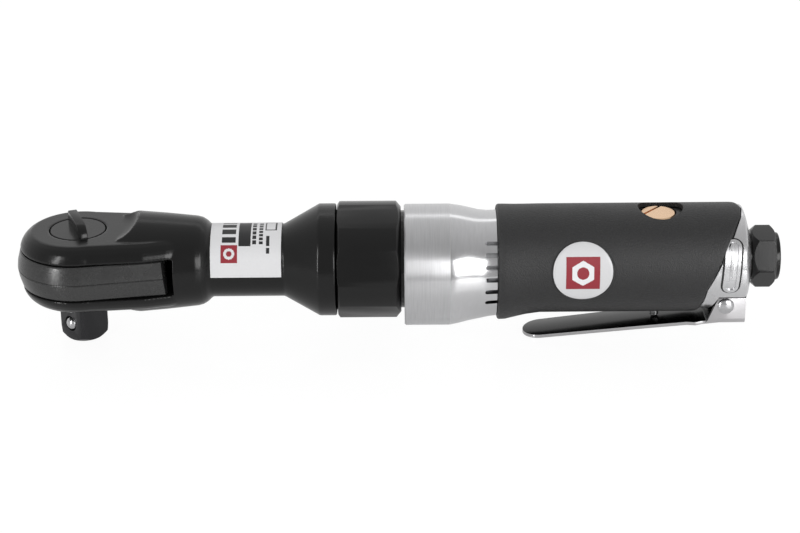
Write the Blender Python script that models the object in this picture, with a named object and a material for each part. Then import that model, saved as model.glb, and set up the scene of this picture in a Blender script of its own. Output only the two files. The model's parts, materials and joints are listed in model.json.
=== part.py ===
"""Air ratchet with a half inch square drive, as an assembly of separate pieces.

Lengths are millimetres and are scaled to metres when a mesh is made. The scene's origin is the middle of
the drive square's end face. The pieces are modelled about the point above it where the long axis of the
tool crosses the axis of the drive square, with +X towards the air inlet and +Z through the reverse knob.
"""

import math

import bmesh
import bpy
from mathutils import Matrix, Vector

METRES_PER_MM = 0.001
GAP = 0.3  # running clearance between neighbours
TURN = 2 * math.pi
FRAME_NAME = "tool_frame"

# Ratchet head
EAR_RADIUS = 20.2
EAR_TOP = 12.4
SLOT_HALF = 6.7
SLOT_END = 33.9
NECK_RADIUS = 12.7
NECK_START, NECK_END = 46.6, 71.8
REAR_RADIUS = 19.7
REAR_START, HEAD_END = 84.2, 90.1
SPIGOT_RADIUS, SPIGOT_END = 17.1, 100.5

# Ratchet
SPINDLE_RADIUS = 10.0
DRIVE_SQUARE = 12.7
ANVIL_END = -28.0
BALL_LEVEL = -21.9
BALL_RADIUS = 2.5
YOKE_RADIUS = 21.7
YOKE_TEETH = 40
POCKET_TURN = math.radians(80)  # turns -X to the middle of the knob's travel
KNOB_TURN = math.radians(110)  # turns -X to the knob's rest position
SQUARE_TURN = math.radians(3)
BALL_TURN = math.radians(-132)  # turns +X to the face of the square that holds the ball
PAWL_PIN_OFFSET = 7.0
PAWL_TILT = math.radians(-5)

# Drive train
CRANK_THROW = 2.6
CRANK_PIN_RADIUS = 2.4
CRANK_RADIUS = 7.2
CARRIER_RADIUS = 12.2
GEAR_MODULE = 0.6
SUN_TEETH, PLANET_TEETH, RING_TEETH = 12, 15, 42
PLANET_ORBIT = GEAR_MODULE * (SUN_TEETH + PLANET_TEETH) / 2
PLANETS = 3
PLANET_START, PLANET_END = 87.4, 94.4

# Motor
MOTOR_RADIUS = 14.4
ROTOR_RADIUS = 10.5
ROTOR_START, ROTOR_END = 110.1, 148.7
BORE_RADIUS, BORE_SHIFT = 12.0, -1.2
VANES = 5
SHAFT_RADIUS = 4.5
DOWEL_LEVEL, DOWEL_RADIUS = 12.6, 0.9

# Handle
NUT_START, NUT_END, NUT_FLATS = 90.6, 112.7, 39.0
NUT_FACE = math.pi - math.radians(12.5)  # turns +Y to a flat, which looks up a little from the -Y side
HOUSING_START, HOUSING_END = 113.8, 234.6
CORE_RADIUS = 17.2
GRIP_START, GRIP_RADIUS = 146.1, 19.1
EDGE_AT_AXIS, EDGE_SLOPE = 222.3, 0.483  # the grip's slanted rear edge: x = EDGE_AT_AXIS + EDGE_SLOPE z
BADGE_X, BADGE_RADIUS = 175.0, 10.3
BADGE_TILT = math.radians(8.5)
EXHAUST_SLOTS = 6  # on each side
EXHAUST_LOWEST, EXHAUST_STEP = math.radians(-28.0), math.radians(13.6)
VALVE_X = 202.3
LEVER_PIN = (226.0, 0.0, -14.2)
LEVER_HALF = 10.9  # half the lever's width across its cheeks
LEVER_END = 233.0
PLATE = 1.2  # the lever's thickness
HEX_START, HEX_END, HEX_FLATS = 235.0, 243.2, 19.0
HEX_FACE = math.pi - math.radians(22)
INLET_END = 244.8


def clear_scene():
    for obj in list(bpy.data.objects):
        bpy.data.objects.remove(obj)


def tool_frame():
    """Empty on the tool's long axis, above the origin. Every piece is placed in it."""
    frame = bpy.data.objects.new(FRAME_NAME, None)
    frame.location.z = -ANVIL_END * METRES_PER_MM
    bpy.context.scene.collection.objects.link(frame)


def material(name, colour, roughness, metallic):
    made = bpy.data.materials.new(name)
    made.use_nodes = True
    shader = made.node_tree.nodes["Principled BSDF"]
    shader.inputs["Base Color"].default_value = (*colour, 1)
    shader.inputs["Roughness"].default_value = roughness
    shader.inputs["Metallic"].default_value = metallic
    return made


def oriented(axis, u, v, along):
    """The point at along on the axis, with u and v across it."""
    return {"X": (along, u, v), "Y": (u, along, v), "Z": (u, v, along)}[axis]


def stack(layers):
    """Solid through equal rings of points, closed by a face at each end."""
    bm = bmesh.new()
    rings = [[bm.verts.new(point) for point in layer] for layer in layers]
    for low, high in zip(rings, rings[1:]):
        for i in range(len(low)):
            j = (i + 1) % len(low)
            bm.faces.new((low[i], low[j], high[j], high[i]))
    bm.faces.new(rings[0])
    bm.faces.new(rings[-1])
    bmesh.ops.recalc_face_normals(bm, faces=bm.faces)
    return bm


def prism(outline, low, high, axis="Z"):
    return stack([[oriented(axis, u, v, level) for u, v in outline] for level in (low, high)])


def box(low, high):
    corners = ((low[0], low[1]), (high[0], low[1]), (high[0], high[1]), (low[0], high[1]))
    return prism(corners, low[2], high[2])


def turned(profile, segments=32, axis="X"):
    """Solid of revolution of (along, radius) or (along, radius, shift) points.

    A profile that starts and ends at radius 0 is solid, and any other closes on itself as a ring. The
    shift moves a ring's centre upwards, for a shape whose sections aren't concentric.
    """
    bm = bmesh.new()
    rings = []
    for along, radius, *shift in profile:
        steps = segments if radius else 1
        angles = [TURN * (i + 0.5) / segments for i in range(steps)]
        rise = shift[0] if shift else 0
        ring = [(radius * math.cos(a), radius * math.sin(a) + rise) for a in angles]
        rings.append([bm.verts.new(oriented(axis, u, v, along)) for u, v in ring])
    pairs = list(zip(rings, rings[1:]))
    if profile[0][1]:
        pairs.append((rings[-1], rings[0]))
    for first, second in pairs:
        for i in range(segments):
            j = (i + 1) % segments
            corners = [first[i % len(first)], first[j % len(first)]]
            corners += [second[j % len(second)], second[i % len(second)]]
            bm.faces.new(list(dict.fromkeys(corners)))
    bmesh.ops.recalc_face_normals(bm, faces=bm.faces)
    return bm


def rod(radius, low, high, axis="X", segments=16):
    return turned([(low, 0), (low, radius), (high, radius), (high, 0)], segments, axis)


def ring(inner, outer, low, high, axis="X", segments=32):
    return turned([(low, inner), (low, outer), (high, outer), (high, inner)], segments, axis)


def torus(major, minor, axis="X", level=0.0, segments=20, sides=6):
    angles = [TURN * i / sides for i in range(sides)]
    profile = [(level + minor * math.sin(a), major + minor * math.cos(a)) for a in angles]
    return turned(profile, segments, axis)


def moved(bm, offset=(0, 0, 0), turn=0.0, axis="Z"):
    """The shape turned about an axis through the origin, then moved."""
    bm.transform(Matrix.Translation(offset) @ Matrix.Rotation(turn, 4, axis))
    return bm


def mesh_object(name, bm, finish=None, at=(0, 0, 0), turn=0.0, parent=None):
    """The shape as an object at a place in millimetres, turned about Z, its mesh scaled to metres."""
    bm.transform(Matrix.Scale(METRES_PER_MM, 4))
    mesh = bpy.data.meshes.new(name)
    bm.to_mesh(mesh)
    bm.free()
    mesh.shade_smooth()
    mesh.set_sharp_from_angle(angle=math.radians(30))
    obj = bpy.data.objects.new(name, mesh)
    bpy.context.scene.collection.objects.link(obj)
    obj.location = Vector(at) * METRES_PER_MM
    obj.rotation_euler.z = turn
    obj.parent = parent or bpy.data.objects[FRAME_NAME]
    if finish:
        mesh.materials.append(finish)
    return obj


def shape(obj, operation, *tools):
    """Adds a Boolean for each tool shape, given in the object's own frame."""
    for bm in tools:
        number = len(obj.modifiers) + 1
        tool = mesh_object(f"{obj.name}_tool_{number}", bm, parent=obj)
        tool.hide_render = True
        tool.display_type = "WIRE"
        modifier = obj.modifiers.new(f"{operation.lower()}_{number}", "BOOLEAN")
        modifier.operation = operation
        modifier.object = tool
    return obj


def cut(obj, *tools):
    return shape(obj, "DIFFERENCE", *tools)


def fuse(obj, *tools):
    return shape(obj, "UNION", *tools)


def arc(radius, start, end, steps, centre=(0, 0)):
    """Points on an arc, with its ends in degrees."""
    angles = [math.radians(start + (end - start) * i / steps) for i in range(steps + 1)]
    return [(centre[0] + radius * math.cos(a), centre[1] + radius * math.sin(a)) for a in angles]


def regular(corners, across_flats, turn=0.0):
    """Corners of a regular polygon whose first flat faces the turn angle."""
    radius = across_flats / 2 / math.cos(math.pi / corners)
    angles = [turn + TURN * (i + 0.5) / corners for i in range(corners)]
    return [(radius * math.cos(a), radius * math.sin(a)) for a in angles]


def gear_outline(teeth, root, tip, phase=0.0):
    """Four points to a tooth, the first tooth centred on the phase, in pitches."""
    points = []
    for tooth in range(teeth):
        for radius, side in ((root, -0.25), (tip, -0.1), (tip, 0.1), (root, 0.25)):
            angle = TURN * (tooth + phase + side) / teeth
            points.append((radius * math.cos(angle), radius * math.sin(angle)))
    return points


def external_gear(teeth, low, high):
    pitch = GEAR_MODULE * teeth / 2
    outline = gear_outline(teeth, pitch - 1.25 * GEAR_MODULE, pitch + 0.9 * GEAR_MODULE)
    return prism(outline, low, high, "X")


def spring(radius, wire, low, high, coils, axis="Z"):
    """Round wire wound between two levels, with flat ends to the wire."""
    steps, sides = 8 * coils, 5
    layers = []
    for step in range(steps + 1):
        angle = TURN * step / 8
        level = low + wire + (high - low - 2 * wire) * step / steps
        layer = []
        for side in range(sides):
            around = TURN * side / sides
            reach = radius + wire * math.cos(around)
            point = (reach * math.cos(angle), reach * math.sin(angle))
            layer.append(oriented(axis, *point, level + wire * math.sin(around)))
        layers.append(layer)
    return stack(layers)


# ---------------------------------------------------------------- ratchet head


def head_outline(inset):
    """Plan of the ears: a circle about the drive axis with sides that run in towards the neck."""
    radius = EAR_RADIUS - inset
    front = arc(radius, 82, 278, 20)
    return [(40, 14.5 - inset), (32, 16 - inset), *front, (32, inset - 16), (40, inset - 14.5)]


def root_shape():
    """Round root, neck and rear flange, its root end hollowed about the drive axis."""
    profile = [(15, 0), (15, 17.6), (22, 17.8), (41, 15.8), (43.5, 15.2), (45.6, 13.9)]
    profile += [(NECK_START, NECK_RADIUS), (NECK_END, NECK_RADIUS), (REAR_START, REAR_RADIUS)]
    profile += [(HEAD_END - 0.5, REAR_RADIUS), (HEAD_END, REAR_RADIUS - 0.5), (HEAD_END, SPIGOT_RADIUS)]
    profile += [(SPIGOT_END, SPIGOT_RADIUS), (SPIGOT_END, 0)]
    return turned(profile, 36)


def ratchet_head(finish):
    shoulder = ((EAR_TOP, 4.1), (11.6, 2.4), (10.2, 1.0), (7.8, 0.0))
    levels = [(-level, inset) for level, inset in shoulder] + [*reversed(shoulder)]
    ears = stack([[(x, y, level) for x, y in head_outline(inset)] for level, inset in levels])
    head = mesh_object("ratchet_head", ears, finish)
    fuse(head, root_shape())
    swoosh = [(EAR_TOP, 16.5), (12.9, 18.6), (14.2, 20.4), (16, 21.3), (18, 21.8), (30, 21.8), (30, 0)]
    spindle_bore = [(-20, 0), (-20, 10.3), (8.3, 10.3), (8.3, 11.5), (9.8, 11.5), (9.8, 9.95), (20, 9.95)]
    crank_bore = [(30, 0), (30, 10), (82.8, 10), (82.8, 12.6), (86.4, 12.6), (86.4, 15.3), (110, 15.3)]
    return cut(
        head,
        turned([(EAR_TOP, 0), *swoosh], 48, "Z"),
        turned([(-z, radius) for z, radius in [(EAR_TOP, 0), *swoosh]], 48, "Z"),
        box((-30, -30, -SLOT_HALF), (SLOT_END, 30, SLOT_HALF)),
        turned([*spindle_bore, (20, 0)], 32, "Z"),
        turned([*crank_bore, (110, 0)], 32),
    )


def name_label(finish):
    """Thin foil wrapped over the neck."""
    inner, outer = NECK_RADIUS + GAP, NECK_RADIUS + GAP + 0.2
    sector = arc(outer, 34, 184, 24) + arc(inner, 184, 34, 24)
    return mesh_object("name_label", prism(sector, NECK_START + 0.4, NECK_END - 0.2, "X"), finish)


def ratchet_yoke(finish):
    side = [(30.8, 14.8), (30.0, 16.2), (27.5, 17.0)]
    outline = side + arc(YOKE_RADIUS, 80, 280, 30) + [(x, -y) for x, y in reversed(side)]
    yoke = mesh_object("ratchet_yoke", prism(outline, -6.3, 6.3), finish)
    teeth = []
    for tooth in range(YOKE_TEETH):
        for radius, place in ((10.6, 0), (11.7, 0.5)):
            angle = TURN * (tooth + place) / YOKE_TEETH
            teeth.append((radius * math.cos(angle), radius * math.sin(angle)))
    cut(yoke, prism(teeth, -8, 8), box((20.5, -9.7, -8), (35, 9.7, 8)))
    return yoke


def drive_anvil(finish):
    """Spindle with the pawl pocket, and the drive square below it."""
    profile = [(-12.5, 0), (-12.5, SPINDLE_RADIUS), (6.8, SPINDLE_RADIUS), (7.2, 9.6), (7.2, 0)]
    anvil = mesh_object("drive_anvil", turned(profile, 32, "Z"), finish)
    half, bevel = DRIVE_SQUARE / 2, 1.1
    square = []
    for quarter in range(4):
        for along, out in ((half - bevel, half), (half, half - bevel)):
            angle = math.atan2(out, along) + TURN * (quarter / 4 + 1 / 8) + SQUARE_TURN
            reach = math.hypot(along, out)
            square.append((reach * math.cos(angle), reach * math.sin(angle)))
    square.sort(key=lambda point: math.atan2(point[1], point[0]))
    layers = [(x, y, -11.5) for x, y in square], [(x, y, -26.9) for x, y in square]
    tip = [(0.86 * x, 0.86 * y, ANVIL_END) for x, y in square]
    fuse(anvil, stack([*layers, tip]))
    return cut(
        anvil,
        rod(3.3, -6, 10, "Z", 24),
        moved(box((-12, -7.6, -6), (-4.3, 7.6, 6)), turn=POCKET_TURN),
        moved(box((-5, -3.6, -1.5), (-1, 3.6, 1.5)), turn=POCKET_TURN),
        moved(moved(rod(1.5, -8.4, 9, "Z"), (-PAWL_PIN_OFFSET, 0, 0)), turn=POCKET_TURN),
        moved(rod(BALL_RADIUS + GAP, -2.6, 9, "X", 24), (0, 0, BALL_LEVEL), BALL_TURN),
    )


def pawl_place(radius, level=0.0):
    """A point over the pawl pocket, at a radius from the drive axis."""
    return (-radius * math.cos(POCKET_TURN), -radius * math.sin(POCKET_TURN), level)


def reversing_pawl(finish):
    """Double-ended pawl about its pin, which is the local origin."""
    side = [(1.8, 5.8), (-0.4, 6.3), (-0.9, 5.2), (-2.0, 3.0)]
    outline = side + [(-2.2, 0)] + [(x, -y) for x, y in reversed(side)] + [(1.9, 0)]
    outline.reverse()
    turn = POCKET_TURN + PAWL_TILT
    body = prism(outline, -5.6, 5.6)
    pawl = mesh_object("reversing_pawl", body, finish, pawl_place(PAWL_PIN_OFFSET), turn)
    return cut(pawl, rod(1.5, -8, 8, "Z"))


def pawl_pin(finish):
    return mesh_object("pawl_pin", rod(1.2, -8, 6.8, "Z"), finish, pawl_place(PAWL_PIN_OFFSET))


def reverse_knob(finish):
    """Disc with a bar and a stem; the bar's nose droops over the disc's edge along local -X."""
    profile = [(-5, 0), (-5, 3), (9.9, 3), (9.9, 9.65), (12.4, 9.65), (12.4, 0)]
    knob = mesh_object("reverse_knob", turned(profile, 32, "Z"), finish, turn=KNOB_TURN)
    bar = [(8.6, 12.0), (8.6, 15.7), (7.9, 16.5), (-5.0, 16.5), (-6.6, 15.9), (-8.0, 14.7), (-8.9, 13.3)]
    bar += [(-9.1, 12.0)]
    fuse(knob, prism(bar, -1.5, 1.5, "Y"))
    return cut(knob, rod(1.4, -6, 1.8, "X"))


def pawl_plunger(finish, knob):
    """Round-nosed plunger in the knob's stem."""
    profile = [(-4.3, 0), (-4.1, 0.6), (-3.6, 1.1), (-0.9, 1.1), (-0.9, 0)]
    return mesh_object("pawl_plunger", turned(profile, 16), finish, parent=knob)


def pawl_spring(finish, knob):
    return mesh_object("pawl_spring", spring(0.75, 0.18, -0.7, 1.5, 4, "X"), finish, parent=knob)


def thrust_washer(finish):
    return mesh_object("thrust_washer", ring(4, 9.9, 7.5, 8.3, "Z"), finish)


def retaining_ring(finish):
    """Open ring that springs into the groove above the spindle."""
    sector = arc(11.2, 10, 350, 30) + arc(8.2, 350, 10, 30)
    return mesh_object("retaining_ring", prism(sector, 8.6, 9.5), finish)


def ball_place(reach):
    return (reach * math.cos(BALL_TURN), reach * math.sin(BALL_TURN), BALL_LEVEL)


def socket_ball(finish):
    bm = bmesh.new()
    bmesh.ops.create_uvsphere(bm, u_segments=16, v_segments=10, radius=BALL_RADIUS)
    proud = 1.2
    return mesh_object("socket_ball", bm, finish, ball_place(DRIVE_SQUARE / 2 + proud - BALL_RADIUS))


def ball_spring(finish):
    coil = spring(1.6, 0.3, -2.3, 1.0, 3, "X")
    return mesh_object("ball_spring", coil, finish, (0, 0, BALL_LEVEL), BALL_TURN)


# ---------------------------------------------------------------- drive train


def planet_place(number, along=0.0):
    angle = TURN * number / PLANETS
    return (along, PLANET_ORBIT * math.cos(angle), PLANET_ORBIT * math.sin(angle))


def crankshaft(finish):
    """Shaft with the planet carrier at its rear and the eccentric pin at its front."""
    profile = [(34.6, 0), (34.6, CRANK_RADIUS - 0.3), (34.9, CRANK_RADIUS), (83.6, CRANK_RADIUS)]
    profile += [(83.6, CARRIER_RADIUS), (87.0, CARRIER_RADIUS), (87.0, 0)]
    crank = mesh_object("crankshaft", turned(profile, 24), finish)
    fuse(crank, moved(rod(CRANK_PIN_RADIUS, 22.6, 35, "X"), (0, 0, CRANK_THROW)))
    cut(crank, *(moved(rod(1.6, 83, 88), planet_place(n)) for n in range(PLANETS)))
    return crank


def drive_bushing(finish):
    bush = ring(CRANK_PIN_RADIUS + GAP, 3.8, 22.9, 30.2, segments=24)
    return mesh_object("drive_bushing", bush, finish, (0, 0, CRANK_THROW))


def crank_bush(name, start, end, finish):
    return mesh_object(name, ring(CRANK_RADIUS + GAP, 9.7, start, end), finish)


def ring_gear(finish):
    """Internal gear, whose teeth fill the spaces of a gear that has its own teeth at half a pitch."""
    pitch = GEAR_MODULE * RING_TEETH / 2
    gear = mesh_object("ring_gear", rod(15.0, 87.3, 97.0, segments=36), finish)
    points = []
    for tooth in range(RING_TEETH):
        tip, root = pitch - 0.9 * GEAR_MODULE, pitch + 1.25 * GEAR_MODULE
        for radius, side in ((root, -0.25), (tip, -0.1), (tip, 0.1), (root, 0.25)):
            angle = TURN * (tooth + 0.5 + side) / RING_TEETH
            points.append((radius * math.cos(angle), radius * math.sin(angle)))
    return cut(gear, prism(points, 86, 98, "X"))


def planet_gear(number, finish):
    gear = external_gear(PLANET_TEETH, PLANET_START, PLANET_END)
    planet = mesh_object(f"planet_gear_{number + 1}", gear, finish, planet_place(number))
    return cut(planet, rod(1.6, 80, 100))


def planet_pin(number, finish):
    return mesh_object(f"planet_pin_{number + 1}", rod(1.3, 83.9, 95.0), finish, planet_place(number))


def clamp_spacer(finish):
    return mesh_object("clamp_spacer", ring(11, 14.4, 97.6, 103.4), finish)


def coupling_nut(finish):
    """Large hexagon whose corners are turned round and whose ends are chamfered."""
    hexagon = prism(regular(6, NUT_FLATS, NUT_FACE), NUT_START, NUT_END, "X")
    nut = mesh_object("coupling_nut", hexagon, finish)
    corner = 20.5
    profile = [(NUT_START - 1, 0), (NUT_START - 1, corner - 1.6), (NUT_START + 0.7, corner)]
    profile += [(NUT_END - 1.7, corner), (NUT_END + 0.3, corner - 2.1), (NUT_END + 0.3, 0)]
    shape(nut, "INTERSECT", turned(profile, 36))
    return cut(nut, rod(17.4, 80, 120, segments=36))


def housing_adapter(finish):
    return mesh_object("housing_adapter", ring(14.8, SPIGOT_RADIUS, 101, 121.2, segments=32), finish)


# ---------------------------------------------------------------- air motor


def dowel_hole(low, high):
    return moved(rod(DOWEL_RADIUS + GAP, low, high), (0, 0, DOWEL_LEVEL))


def front_end_plate(finish):
    profile = [(104, 9.3), (104, MOTOR_RADIUS), (109.5, MOTOR_RADIUS), (109.5, 5), (108.2, 5), (108.2, 9.3)]
    plate = mesh_object("front_end_plate", turned(profile, 24), finish)
    return cut(plate, dowel_hole(103, 110))


def rotor_bearing(name, bore, outside, start, end, finish):
    """Bearing ring with a seal groove turned into its front face."""
    middle, depth = (bore + outside) / 2, 0.5
    profile = [(start, bore), (start, middle - 0.9), (start + depth, middle - 0.9)]
    profile += [(start + depth, middle + 0.9), (start, middle + 0.9), (start, outside)]
    profile += [(end, outside), (end, bore)]
    return mesh_object(name, turned(profile, 20), finish)


def vane_angle(number):
    return TURN * (number + 0.25) / VANES


def rotor(finish):
    """Slotted rotor with its sun pinion and both journals."""
    journals = [(97, 0), (97, 2.6), (97.5, SHAFT_RADIUS), (112, SHAFT_RADIUS), (147, 3.5), (156.8, 3.5)]
    body = mesh_object("rotor", external_gear(SUN_TEETH, 87.6, 97.6), finish)
    outline = []
    slot_half, slot_floor = 0.8, 5.4
    for number in range(VANES):
        middle = vane_angle(number)
        for radius, side in ((ROTOR_RADIUS, -1), (slot_floor, -1), (slot_floor, 1), (ROTOR_RADIUS, 1)):
            angle = middle + side * math.asin(slot_half / radius)
            outline.append((radius * math.cos(angle), radius * math.sin(angle)))
        start, end = middle + TURN / VANES * 0.15, middle + TURN / VANES * 0.85
        outline += arc(ROTOR_RADIUS, math.degrees(start), math.degrees(end), 5)
    return fuse(body, turned([*journals, (156.8, 0)]), prism(outline, ROTOR_START, ROTOR_END, "X"))


def rotor_vane(number, finish):
    """Flat vane, drawn in to the rotor's surface so that it clears the bore all the way round."""
    blade = box((ROTOR_START + 0.2, 5.8, -0.5), (ROTOR_END - 0.2, 10.4, 0.5))
    moved(blade, turn=vane_angle(number), axis="X")
    return mesh_object(f"rotor_vane_{number + 1}", blade, finish)


def motor_cylinder(finish):
    """Cylinder whose bore sits below the rotor's axis, with exhaust slots through one side."""
    cylinder = mesh_object("motor_cylinder", rod(MOTOR_RADIUS, 109.8, 149.0, segments=36), finish)
    cut(cylinder, moved(rod(BORE_RADIUS, 109, 150, segments=36), (0, 0, BORE_SHIFT)), dowel_hole(109, 150))
    slots = [box((x, -20, -1.5), (x + 3, -8, 1.5)) for x in (116, 124, 132, 140)]
    return cut(cylinder, *slots)


def cylinder_pin(finish):
    pin = moved(rod(DOWEL_RADIUS, 105, 154, segments=12), (0, 0, DOWEL_LEVEL))
    return mesh_object("cylinder_pin", pin, finish)


def rear_end_plate(finish):
    profile = [(149.3, 4.2), (149.3, MOTOR_RADIUS), (155.5, MOTOR_RADIUS), (155.5, 7.3), (151, 7.3)]
    plate = mesh_object("rear_end_plate", turned([*profile, (151, 4.2)], 24), finish)
    ports = []
    for side in (-1, 1):
        ports.append(moved(rod(1.4, 148, 157, segments=12), (0, 2.4 * side, -10.8)))
    return cut(plate, dowel_hole(148, 157), *ports)


# ---------------------------------------------------------------- handle


def behind_edge(reach=30):
    """Block that fills the space behind the grip's slanted rear edge."""
    edge = [(EDGE_AT_AXIS + EDGE_SLOPE * z, z) for z in (-reach, reach)]
    return prism([*edge, (260, reach), (260, -reach)], -reach, reach, "Y")


def rear_casting():
    """Domed rear end of the housing, cut off square with the grip's slanted edge, a gap behind it."""
    profile = [(210, 0), (210, 18.3), (230, 18.3), (231.8, 17.3), (233.4, 14.0), (HOUSING_END, 9)]
    bm = turned([*profile, (HOUSING_END, 0)], 36)
    geometry = [*bm.verts, *bm.edges, *bm.faces]
    edge = {"plane_co": (EDGE_AT_AXIS + GAP, 0, 0), "plane_no": (1, 0, -EDGE_SLOPE)}
    bmesh.ops.bisect_plane(bm, geom=geometry, clear_inner=True, **edge)
    bmesh.ops.holes_fill(bm, edges=bm.edges, sides=0)
    bmesh.ops.recalc_face_normals(bm, faces=bm.faces)
    return bm


def housing_cuts():
    """Bores for the motor, the inlet, the valve and the lever's pin, and the air passage between them."""
    motor = [(100, 0), (100, 17.4), (121.5, 17.4), (121.5, 14.8), (157.5, 14.8), (157.5, 0)]
    inlet = [(200, 0), (200, 6), (218.5, 6), (218.5, 8.3), (250, 8.3), (250, 0)]
    valve = [(-30, 0), (-30, 2), (-14, 2), (-14, 3.8), (-8.3, 3.8), (-8.3, 5), (3, 5), (3, 6.3), (30, 6.3)]
    return [
        turned(motor),
        turned(inlet),
        moved(turned([*valve, (30, 0)], 24, "Z"), (VALVE_X, 0, 0)),
        moved(rod(2.4, 155, VALVE_X), (0, 0, -11)),
        moved(rod(1.8, -30, 30, "Y"), LEVER_PIN),
    ]


def exhaust_slot(number, facing):
    """Slot of the housing's +Y side or, facing half a turn round, of its -Y side."""
    angle = EXHAUST_LOWEST + EXHAUST_STEP * number
    slot = box((141.6, 13.5, -0.8), (148, 24, 0.8))
    return moved(slot, turn=facing - angle if facing else angle, axis="X")


def motor_housing(finish):
    """Housing with a bulged front, a slim core under the grip, a domed rear and a lug for the lever."""
    front = [(HOUSING_START, 0), (HOUSING_START, 20.9, -2.2), (114.4, 21.3, -2.2), (129.6, 21.3, -2.2)]
    front += [(135.2, 20.2, -2.0), (140, 19.2, -2.1), (143, 18.7, -1.9), (145.8, 18.6, -1.7)]
    core = [(145.8, CORE_RADIUS), (229.0, CORE_RADIUS), (230, 0)]
    housing = mesh_object("motor_housing", turned(front + core, 36), finish)
    fuse(housing, rear_casting())
    cut(housing, *housing_cuts())
    cheek_room = [(217.4, -30), (217.4, -23), (222.6, -8.5), (236, -8.5), (236, -30)]
    cut(housing, prism(cheek_room, -30, -9.4, "Y"), prism(cheek_room, 9.4, 30, "Y"))
    cut(housing, box((212, -30, -30), (223, 30, -15)))
    for number in range(EXHAUST_SLOTS):
        cut(housing, exhaust_slot(number, 0), exhaust_slot(number, math.pi))
    return housing


def grip_sleeve(finish):
    """Moulded sleeve with a flat boss for the badge, a slanted rear edge and openings for the valves."""
    inner = CORE_RADIUS + GAP
    profile = [(GRIP_START, inner), (GRIP_START, 20.0, -1.3), (146.7, 20.4, -1.3), (152, 19.8, -0.7)]
    profile += [(160, GRIP_RADIUS), (232, GRIP_RADIUS), (232, inner)]
    grip = mesh_object("grip_sleeve", turned(profile, 36), finish)
    fuse(grip, badge_disc_shape(18.2, 19.4, 11.0))
    cut(
        grip,
        behind_edge(),
        moved(rod(8, 10, 30, "Z", 24), (VALVE_X, 0, 0)),
        moved(rod(3.5, -30, -10, "Z"), (VALVE_X, 0, 0)),
    )
    return grip


def badge_disc_shape(low, high, radius):
    """Disc that faces the tool's side, -Y, and looks a little upwards."""
    disc = rod(radius, -high, -low, "Y", 32)
    return moved(moved(disc, (BADGE_X, 0, 0)), turn=-BADGE_TILT, axis="X")


def badge_disc(finish):
    return mesh_object("badge_disc", badge_disc_shape(19.7, 20.5, BADGE_RADIUS), finish)


def lever_floor(x):
    """Height of the lever's underside."""
    return -28.7 + (x - 157) * 8 / 75


def from_pin(bm):
    """The shape in the frame of the lever, whose origin is its pin."""
    return moved(bm, [-value for value in LEVER_PIN])


def throttle_lever(finish):
    """Pressed plate that widens to the rear, with a cheek bent up on each side for the pin."""
    half = [(156.0, 1.6), (156.9, 4.0), (158.8, 5.8), (162, 6.7), (200, 7.7), (213, 8.3)]
    half += [(218.5, LEVER_HALF), (LEVER_END, LEVER_HALF)]
    outline = half + [(x, -y) for x, y in reversed(half)]
    layers = [[(x, y, lever_floor(x) + rise) for x, y in outline] for rise in (0, PLATE)]
    lever = mesh_object("throttle_lever", from_pin(stack(layers)), finish, LEVER_PIN)
    cheek = [(219.2, -21.9), (223.3, -11.3), (LEVER_END, -11.3), (LEVER_END, -20.0)]
    for side in (-1, 1):
        low, high = sorted(((LEVER_HALF - PLATE) * side, LEVER_HALF * side))
        fuse(lever, from_pin(prism(cheek, low, high, "Y")))
    return cut(lever, rod(1.8, -30, 30, "Y"))


def lever_pin(finish):
    """Pin with a domed head at each end."""
    head = [(-12.3, 0), (-12.2, 1.6), (-11.8, 2.7), (-11.2, 3.1), (-11.2, 1.5)]
    profile = head + [(-y, radius) for y, radius in reversed(head)]
    return mesh_object("lever_pin", turned(profile, 20, "Y"), finish, LEVER_PIN)


def throttle_valve(finish):
    """Stem that stands on the lever, with the valve head above its seat."""
    stem = [(-22.3, 0), (-22.3, 1.2), (-21.9, 1.65), (-6.3, 1.65)]
    head = [(-6.3, 3.6), (-4.9, 3.6), (-4.5, 3.2), (-4.5, 0)]
    return mesh_object("throttle_valve", turned(stem + head, 20, "Z"), finish, (VALVE_X, 0, 0))


def valve_seat(finish):
    return mesh_object("valve_seat", ring(2.6, 4.7, -8.0, -6.6, "Z", 24), finish, (VALVE_X, 0, 0))


def throttle_spring(finish):
    return mesh_object("throttle_spring", spring(2.7, 0.35, -4.2, 2.6, 4), finish, (VALVE_X, 0, 0))


def air_regulator(finish):
    """Slotted barrel with a groove for its seal."""
    profile = [(3.3, 0), (3.3, 6.0), (7.0, 6.0), (7.0, 4.9), (9.0, 4.9), (9.0, 6.0)]
    barrel = turned([*profile, (16.5, 6.0), (16.9, 5.6), (16.9, 0)], 28, "Z")
    slot_turn = math.radians(49)
    regulator = mesh_object("air_regulator", barrel, finish, (VALVE_X, 0, 0), slot_turn)
    return cut(regulator, box((-8, 1.9, 15.6), (8, 2.8, 20)))


def regulator_oring(finish):
    return mesh_object("regulator_oring", torus(5.68, 0.45, "Z", 8.0), finish, (VALVE_X, 0, 0))


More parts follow.
